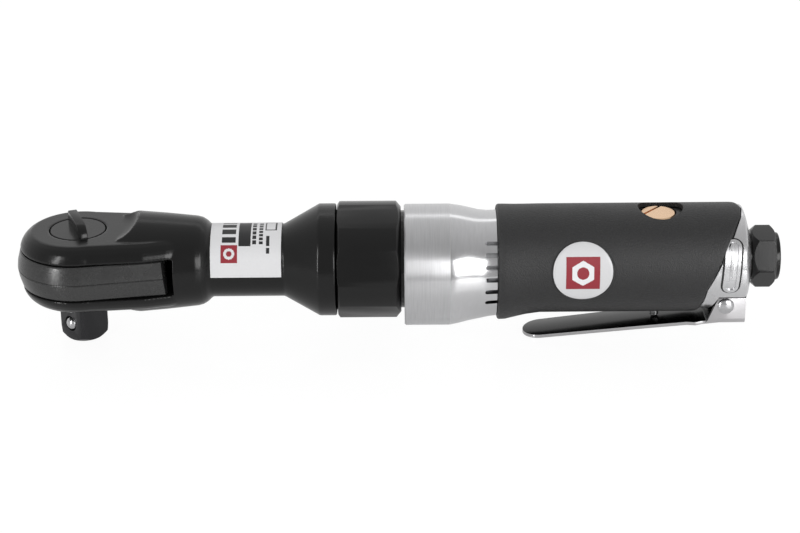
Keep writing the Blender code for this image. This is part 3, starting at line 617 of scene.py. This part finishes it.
def exhaust_slot(number, far_side):
    """Slot of the housing's near side (-Y), or the slot at the same height on the far side."""
    elevation = EXHAUST_LOWEST + EXHAUST_STEP * number
    rounded = arc(EXHAUST_HALF, 90, 270, 8, (EXHAUST_FRONT, 0))
    rounded += [(EXHAUST_BACK, -EXHAUST_HALF), (EXHAUST_BACK, EXHAUST_HALF)]
    slot = moved(prism(rounded, 13.5, 24), turn=math.pi / 2, axis="X")
    return moved(slot, turn=math.pi + elevation if far_side else -elevation, axis="X")


def stadium(length, width, steps=10):
    """Slot outline, its length across the tool."""
    reach = (length - width) / 2
    return arc(width / 2, 0, 180, steps, (0, reach)) + arc(width / 2, 180, 360, steps, (0, -reach))


def divided(outline, parts):
    """The outline with every side split into equal parts, so that it bends smoothly."""
    points = []
    for (u, v), (next_u, next_v) in zip(outline, outline[1:] + outline[:1]):
        for part in range(parts):
            points.append((u + (next_u - u) * part / parts, v + (next_v - v) * part / parts))
    return points


def tilted(outline):
    """The outline turned about its middle, its top leaning to the rear."""
    lean = math.radians(-3.5)
    across, along = math.cos(lean), math.sin(lean)
    return [(u * across - v * along, u * along + v * across) for u, v in outline]


def wrapped_band(outer, inner, low, high):
    """Closed band between two outlines of the same count, bent round the tool at the oval's place."""
    centre_x, centre_elevation = OVAL_PLACE
    corners = []
    for outline, radius in ((outer, low), (outer, high), (inner, high), (inner, low)):
        ring = []
        for along, round_tool in outline:
            angle = math.pi - math.radians(centre_elevation) - round_tool / REAR_CASTING_RADIUS
            ring.append((centre_x + along, radius * math.cos(angle), radius * math.sin(angle)))
        corners.append(ring)
    bm = bmesh.new()
    rings = [[bm.verts.new(point) for point in ring] for ring in corners]
    for first, second in zip(rings, rings[1:] + rings[:1]):
        for i in range(len(first)):
            j = (i + 1) % len(first)
            bm.faces.new((first[i], first[j], second[j], second[i]))
    bmesh.ops.recalc_face_normals(bm, faces=bm.faces)
    return bm


def housing_shape():
    """Turned housing with its bores, the room for the lever's cheeks and the exhaust slots."""
    motor = [(100, 0), (100, 17.4), (121.5, 17.4), (121.5, 14.8), (157.5, 14.8), (157.5, 0)]
    inlet = [(200, 0), (200, 6), (218.5, 6), (218.5, 8.3), (250, 8.3), (250, 0)]
    valve = [(-30, 0), (-30, 2), (-14, 2), (-14, 3.8), (-8.3, 3.8), (-8.3, 5), (3, 5), (3, 6.3)]
    valve += [(30, 6.3), (30, 0)]
    cheek_room = [(217.4, -30), (217.4, -23), (222.6, -8.5), (236, -8.5), (236, -30)]
    shape = cut(
        turned(housing_profile(), 144),
        turned(motor, 64),
        turned(inlet, 64),
        moved(turned(valve, 48, "Z"), (VALVE_X, 0, 0)),
        moved(rod(2.4, 155, VALVE_X), (0, 0, -11)),
        moved(rod(1.8, -30, 30, "Y"), LEVER_PIN),
        prism(cheek_room, -30, -9.4, "Y"),
        prism(cheek_room, 9.4, 30, "Y"),
        box((212, -30, -30), (223.0, 30, -15)),
    )
    slots = [exhaust_slot(number, far) for number in range(EXHAUST_SLOTS) for far in (False, True)]
    return cut(shape, *slots)


def housing_look(x, radius):
    """Which finish a spot has: 0 turned front, 1 polished taper, 2 core under the grip in the black seal finish as
    painted shade, 3 satin rear, 4 groove darkened as painted shade.
    """
    if x < TURNED_END:
        return 0
    if x < GRIP_START:
        return 1
    # The core under the grip takes the black seal finish: painted shade.
    if radius < CORE_RADIUS + 0.1:
        return 2 if x < 232 else 3
    # Faces down in the oval's groove take a dark alloy: painted shade.
    near_oval = 219 < x < 230
    return 4 if near_oval and radius < REAR_CASTING_RADIUS - 0.35 else 3


def oval_frame():
    """Groove and ridge of the raised oval frame."""
    radius = REAR_CASTING_RADIUS
    outlines = [divided(tilted(stadium(length, length - 13.8)), 6) for length in (20.6, 19.0, 19.3, 17.2)]
    groove = wrapped_band(outlines[0], outlines[1], radius - 0.6, 20)
    ridge = wrapped_band(outlines[2], outlines[3], radius - 0.7, radius + 0.5)
    return groove, ridge


def oval_marks():
    """The plain drop and the plain bar inside the oval frame, each as a raised ring."""
    drop = [(0.0, 2.0), (-0.6, 0.7), (-0.85, 0.1), (-0.6, -0.5)]
    drop += [(0, -0.75), (0.6, -0.5), (0.85, 0.1), (0.6, 0.7)]
    bar = [(0.7, 4.4), (-0.7, 4.4), (-0.7, -5.6), (0.7, -5.6)]
    marks = []
    for outline, up in ((drop, 6.2), (bar, 0)):
        middle = sum(v for u, v in outline) / len(outline)
        small = [(u * 0.4, middle + (v - middle) * 0.6) for u, v in outline]
        rings = [divided(tilted([(u, v + up) for u, v in ring]), 4) for ring in (outline, small)]
        marks.append(wrapped_band(*rings, REAR_CASTING_RADIUS - 0.3, REAR_CASTING_RADIUS + 0.3))
    return marks


def motor_housing(look):
    """Housing with a turned front, a polished taper and a satin rear that has a raised oval frame."""
    groove, ridge = oval_frame()
    shape = fused(cut(fused(housing_shape(), *oval_marks()), groove), ridge)
    for face in shape.faces:
        spot = face.calc_center_median()
        face.material_index = housing_look(spot.x, math.hypot(spot.y, spot.z))
    # The seal finish here is painted shade on the core under the grip.
    names = ("alloy_turned", "alloy_polished", "seal", "alloy_satin", "alloy_shaded")
    piece("housing_casting", shape, [look[name] for name in names], "body", "motor_housing", sharp=28)


def badge_place(bm):
    """The shape, made flat and facing -Y about the axis, bent round the tool in the badge's place."""
    for vert in bm.verts:
        depth, angle = -vert.co.y, vert.co.z / GRIP_RADIUS + BADGE_TILT
        vert.co = (vert.co.x + BADGE_X, -depth * math.cos(angle), depth * math.sin(angle))
    return bm


def round_plate(radius, front, back, rounding):
    """Disc facing -Y with a rounded rim, in close rings so that it bends smoothly."""
    flat, rings = radius - rounding, 12
    face = [(-front, flat * ring / rings) for ring in range(rings + 1)]
    rim = [(-front + rounding * 0.3, radius - rounding * 0.3), (-front + rounding, radius)]
    underside = [(-back, radius)] + [(-back, flat * ring / rings) for ring in range(rings, -1, -1)]
    return turned([*face, *rim, *underside], 96, "Y")


def grip_sleeve(look):
    """Moulded sleeve with a front lip, a boss for the badge, a slanted rear edge and two valve holes."""
    lip = [(GRIP_START, 19.5, -1.2), (GRIP_START + 0.2, 20.0, -1.3), (GRIP_START + 0.7, 20.3, -1.3)]
    lip += [(149, 20.25, -1.25), (152, 19.85, -0.9), (156, 19.4, -0.4), (161, GRIP_RADIUS)]
    rounding = ((2.0, 0.0), (1.0, 0.08), (0.45, 0.25), (0.1, 0.55), (0.0, 0.95))
    rear = [(lambda e, back=back: grip_edge(e) - back, GRIP_RADIUS - drop) for back, drop in rounding]
    inside = [(grip_edge, GRIP_INNER), (GRIP_START, GRIP_INNER)]
    sleeve = turned([*lip, *rear, *inside], 144)
    # The boss is real, but it sits 0.5 mm lower and 0.2 mm further along than the badge so its dark rim shows
    # under the badge as a painted shadow.
    boss = badge_place(moved(round_plate(10.8, 19.7, 18.2, 0.4), (0.2, 0, -0.5)))
    shape = cut(
        fused(sleeve, boss),
        rod(GRIP_INNER, GRIP_START, 212, segments=144),
        moved(rod(7.85, 10, 30, "Z", 64), (VALVE_X + 0.7, 0, 0)),
        moved(rod(3.5, -30, -10, "Z", 32), (VALVE_X, 0, 0)),
    )
    piece("grip_moulding", shape, look["grip"], "body", "grip_sleeve", sharp=40)


def badge_ink(along, up):
    """Which finish a spot of the badge's field has: 1 inside a plain hexagon ring, otherwise 0."""
    from_middle = math.hypot(along, up)
    across = max(abs(along * math.cos(a) + up * math.sin(a)) for a in (0, TURN / 6, TURN / 3))
    return int(across < 3.7 and from_middle > 2.1)


def badge(look):
    """Round badge bent to the grip, with a square field that holds a plain hexagon ring."""
    plate = badge_place(round_plate(BADGE_RADIUS, 20.15, 19.3, 0.3))
    piece("badge_plate", plate, look["badge"], "body", "badge_disc")
    half_along, half_up, drop = 5.8, 5.5, -0.3
    middle = math.degrees(BADGE_TILT + drop / GRIP_RADIUS)
    reach = math.degrees(half_up / GRIP_RADIUS)
    ends = (BADGE_X - half_along, BADGE_X + half_along)
    field = wrapped_sheet(*ends, middle - reach, middle + reach, 20.0, 20.22, 84, 78)
    for face in field.faces:
        spot = face.calc_center_median()
        up = (math.atan2(spot.z, -spot.y) - math.radians(middle)) * GRIP_RADIUS
        face.material_index = badge_ink(spot.x - BADGE_X, up)
    piece("badge_field", field, [look["foil_red"], look["emblem"]], "body")


# ---------------------------------------------------------------- controls


def lever_floor(x):
    """Height of the lever's underside."""
    return LEVER_TIP_LEVEL + (x - LEVER_TIP) * 8 / 75


def lever_cheeks():
    """Both sides of the plate bent up for the pin, their front and rear edges cut to shape."""
    bend, level = 2.4, lever_floor(225)
    corner = (LEVER_HALF - bend, level + bend)
    outer = arc(bend, -90, 0, 8, corner)
    inner = arc(bend - PLATE, 0, -90, 8, corner)
    channel = outer + [(LEVER_HALF, CHEEK_TOP), (LEVER_HALF - PLATE, CHEEK_TOP)] + inner
    channel += [(-y, z) for y, z in reversed(inner)]
    channel += [(PLATE - LEVER_HALF, CHEEK_TOP), (-LEVER_HALF, CHEEK_TOP)]
    channel += [(-y, z) for y, z in reversed(outer)]
    side = [(218.4, -24), (219.2, -21.9), (223.3, CHEEK_TOP), (LEVER_END - 0.4, CHEEK_TOP)]
    side += [(LEVER_END, CHEEK_TOP - 0.4), (LEVER_END, -24)]
    return common(prism(channel, 214, 234, "X"), prism(side, -15, 15, "Y"))


def throttle_lever(look):
    """Pressed plate that widens to the rear, where both sides are bent up into cheeks for the pin."""
    half = arc(6.5, 176, 94, 10, (162.3, 0)) + [(200, 7.7), (213, 8.3)]
    half += [(216, 9.4), (218.3, LEVER_HALF - 2), (226, LEVER_HALF - 2)]
    outline = half + [(x, -y) for x, y in reversed(half)]
    plate = stack([[(x, y, lever_floor(x) + rise) for x, y in outline] for rise in (0, PLATE)])
    shape = softened(cut(fused(plate, lever_cheeks()), rod(1.8, -30, 30, "Y")), 0.2)
    for face in shape.faces:
        # The top face between the cheeks takes the dark chrome: painted shade and painted reflection.
        spot = face.calc_center_median()
        between_cheeks = abs(spot.y) < LEVER_HALF - PLATE + 0.1
        face.material_index = int(between_cheeks and spot.z > lever_floor(spot.x) + 0.9)
    piece("lever_pressing", shape, [look["chrome"], look["lever_top"]], "lever", "throttle_lever")


def lever_pin(look):
    """Pin with a domed head at each end."""
    dome = [(-12.3, 0), (-12.25, 0.8), (-12.05, 1.7), (-11.75, 2.4)]
    dome += [(-11.35, 2.85), (-11.1, 2.9), (-11.1, 1.5)]
    profile = dome + [(-y, radius) for y, radius in reversed(dome)]
    shape = moved(turned(profile, 48, "Y"), LEVER_PIN)
    piece("lever_rivet", shape, look["ground_steel"], "body", "lever_pin")


def air_regulator(look):
    """Slotted barrel with a groove for its seal."""
    profile = [(3.3, 0), (3.3, 6.0), (7.0, 6.0), (7.0, 4.9), (9.0, 4.9), (9.0, 6.0)]
    profile += [(16.5, 6.0), (16.9, 5.7), (16.9, 0)]
    slot = moved(box((-8, 2.4, 15.6), (8, 3.3, 20)), turn=math.radians(49))
    shape = moved(cut(turned(profile, 64, "Z"), slot), (VALVE_X, 0, 0))
    piece("regulator_barrel", shape, look["brass"], "regulator", "air_regulator")


def coil(radius, wire, low, high, turns):
    """Spring wire wound about Z, in steps of a turn."""
    steps, layers = 24, []
    for step in range(turns * steps + 1):
        angle, level = TURN * step / steps, low + (high - low) * step / (turns * steps)
        ring = [(radius + u, v) for u, v in arc(wire, 0, 324, 9)]
        layers.append([(reach * math.cos(angle), reach * math.sin(angle), level + v) for reach, v in ring])
    return stack(layers)


def throttle_spring(look):
    """Spring over the throttle valve."""
    upper_end, lower_end, wire, travel = 2.6, -4.2, 0.35, 2.5
    shape = moved(coil(2.7, wire, lower_end, upper_end, 4), (VALVE_X, 0, 0))
    spring = piece("throttle_coil", shape, look["spring_steel"], "body", "throttle_spring")
    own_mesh(spring)


def inlet_bushing(look):
    """Dark neck, a hexagon with a broad chamfer towards the tool, and a short collar behind it."""
    hexagon = prism(regular(6, HEX_FLATS, HEX_FACE), HEX_START, HEX_END, "X")
    chamfer = [(HEX_START - 1.2, 0), (HEX_START - 1.2, 8.2), (HEX_START + 2.1, 10.9), (HEX_END - 1.2, 10.9)]
    chamfer = turned([*chamfer, (HEX_END + 0.2, 9.3), (HEX_END + 0.2, 0)])
    body = [(221, 0), (221, 8.0), (229.6, 8.0), (229.6, 6.9), (231.6, 6.9), (231.6, 8.0), (236, 7.9)]
    collar = [(INLET_END - 2, 8.35), (INLET_END - 0.6, 8.35), (INLET_END - 0.15, 8.15)]
    collar += [(INLET_END, 7.8), (INLET_END, 0)]
    bore = turned([(200, 0), (200, 5.2), (233, 5.2), (235, 5.9), (260, 6.6), (260, 0)], 64)
    shape = cut(fused(common(hexagon, chamfer), turned(body + collar, 64)), bore)
    piece("inlet_hexagon", softened(shape, 0.15), look["black_steel"], "body", "inlet_bushing")


# Finish of each material slot's nodes that are shown as packed, and the nodes seen through the head's slot,
# painted near-black as painted shade
KEPT_FINISHES = {
    "ground_steel": "ground_steel", "dark_steel": "black_steel", "spring_steel": "spring_steel",
    "bronze": "bronze", "alloy": "alloy_turned", "brass": "brass",
    "seal_rubber": "seal", "vane_fibre": "vane",
}
SHADED_GAP_NODES = ("crankshaft", "drive_bushing")


def finish_kept_nodes(look, nodes):
    """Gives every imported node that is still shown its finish."""
    for name, obj in nodes.items():
        if not obj.hide_render:
            # Nodes seen through the head's slot take the near-black finish: painted shade.
            finish_name = "greased" if name in SHADED_GAP_NODES else KEPT_FINISHES[SLOTS[name]]
            obj.data.materials.clear()
            obj.data.materials.append(look[finish_name])


# ---------------------------------------------------------------- studio


def floor_finish():
    """Pale paper, which the camera sees nearly white and reflections see as it is lit."""
    made = bpy.data.materials.new("paper")
    made.use_nodes = True
    tree = made.node_tree
    shader = tree.nodes["Principled BSDF"]
    grain = noise(tree, add(tree, "TexCoord").outputs["Object"], 2.0)
    tone = scaled(tree, grain, 0.78, 0.82)
    tree.links.new(tone, shader.inputs["Base Color"])
    shader.inputs["Roughness"].default_value = 0.5
    shader.inputs["Coat Weight"].default_value = 0.6
    shader.inputs["Coat Roughness"].default_value = 0.1
    glow = add(tree, "Emission", {"Color": (1, 1, 1, 1), "Strength": 1.06})
    seen = add(tree, "LightPath").outputs["Is Camera Ray"]
    share = scaled(tree, seen, FLOOR_GLOW_REFLECTED, FLOOR_GLOW)
    mixed = add(tree, "MixShader", {0: share, 1: shader.outputs[0], 2: glow.outputs[0]})
    output = tree.nodes["Material Output"]
    tree.links.new(mixed.outputs[0], output.inputs["Surface"])
    return made


def area_light(name, place, target, size, power):
    """Rectangular softbox at a place in metres, aimed at a target."""
    data = bpy.data.lights.new(name, "AREA")
    data.shape = "RECTANGLE"
    data.size, data.size_y = size
    data.energy = power
    obj = bpy.data.objects.new(name, data)
    bpy.context.scene.collection.objects.link(obj)
    obj.location = place
    obj.rotation_euler = (Vector(target) - Vector(place)).to_track_quat("-Z", "Y").to_euler()
    return obj


def studio():
    """Pale floor, a softbox to the right, strips to the left and behind, and a room that is pale behind."""
    low = min(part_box(name)[0].z for name in FRAME["nodes"])
    bm = bmesh.new()
    corners = ((-0.6, -0.26), (0.8, -0.26), (0.8, 0.6), (-0.6, 0.6))
    bm.faces.new([bm.verts.new((x, y, low)) for x, y in corners])
    floor = plain_object(bm, "floor")
    floor.data.materials.append(floor_finish())
    for name, row in LIGHTS.items():
        area_light(name, *row)
    world = bpy.data.worlds.new("studio")
    world.use_nodes = True
    tree = world.node_tree
    split = add(tree, "SeparateXYZ", {"Vector": add(tree, "TexCoord").outputs["Generated"]})
    tones = {"From Min": -0.8, "From Max": 0.9, "To Min": ROOM_TONE, "To Max": BACKDROP_TONE}
    tone = add(tree, "MapRange", {"Value": split.outputs["Y"], **tones}).outputs["Result"]
    room = add(tree, "Background", {"Strength": tone})
    backdrop = add(tree, "Background", {"Strength": 1.0})
    for background in (room, backdrop):
        background.inputs["Color"].default_value = (1, 1, 1, 1)
    seen = add(tree, "LightPath").outputs["Is Camera Ray"]
    mixed = add(tree, "MixShader", {0: seen, 1: room.outputs[0], 2: backdrop.outputs[0]})
    tree.links.new(mixed.outputs[0], tree.nodes["World Output"].inputs["Surface"])
    bpy.context.scene.world = world
    bpy.context.scene.view_settings.view_transform = "Standard"


def camera():
    """Camera level with the tool's side, looking down on it a little."""
    data = bpy.data.cameras.new("camera")
    data.lens = CAMERA_LENS
    data.clip_start, data.clip_end = 0.01, 10
    obj = bpy.data.objects.new("camera", data)
    bpy.context.scene.collection.objects.link(obj)
    target = Vector((CAMERA_ALONG, 0, AXIS_HEIGHT * METRES_PER_MM - CAMERA_DROP))
    back = Vector((0, -math.cos(CAMERA_RISE), math.sin(CAMERA_RISE)))
    obj.location = target + back * CAMERA_DISTANCE
    look = (-back).to_track_quat("-Z", "Y").to_matrix().to_4x4()
    obj.rotation_euler = (look @ Matrix.Rotation(CAMERA_ROLL, 4, "Z")).to_euler()
    bpy.context.scene.camera = obj


bpy.ops.wm.read_factory_settings(use_empty=True)
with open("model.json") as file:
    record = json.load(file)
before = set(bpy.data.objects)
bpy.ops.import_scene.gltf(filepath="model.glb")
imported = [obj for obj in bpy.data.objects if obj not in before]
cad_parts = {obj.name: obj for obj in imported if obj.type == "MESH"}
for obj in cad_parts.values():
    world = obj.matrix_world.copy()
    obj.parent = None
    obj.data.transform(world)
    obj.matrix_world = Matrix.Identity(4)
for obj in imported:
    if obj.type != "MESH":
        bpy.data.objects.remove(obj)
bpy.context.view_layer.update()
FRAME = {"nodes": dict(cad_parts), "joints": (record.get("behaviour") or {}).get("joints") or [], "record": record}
SLOTS = {row["node"]: row["material_slot"] for row in FRAME["record"]["subparts"]}
ROTOR_PLACE = next(joint["pos_m"] for joint in FRAME["joints"] if joint["name"] == "rotor_spin")
AXIS_HEIGHT = ROTOR_PLACE[2] / METRES_PER_MM


def main():
    """Every piece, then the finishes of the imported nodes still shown, then the studio."""
    look = finishes()
    for build in (
        ratchet_head, name_label, ratchet_yoke, drive_anvil, socket_ball, reverse_knob, coupling_nut,
        motor_housing, grip_sleeve, badge, throttle_lever, lever_pin, air_regulator, throttle_spring,
        inlet_bushing,
    ):
        build(look)
    finish_kept_nodes(look, FRAME["nodes"])
    studio()
    camera()


main()
bpy.context.view_layer.update()
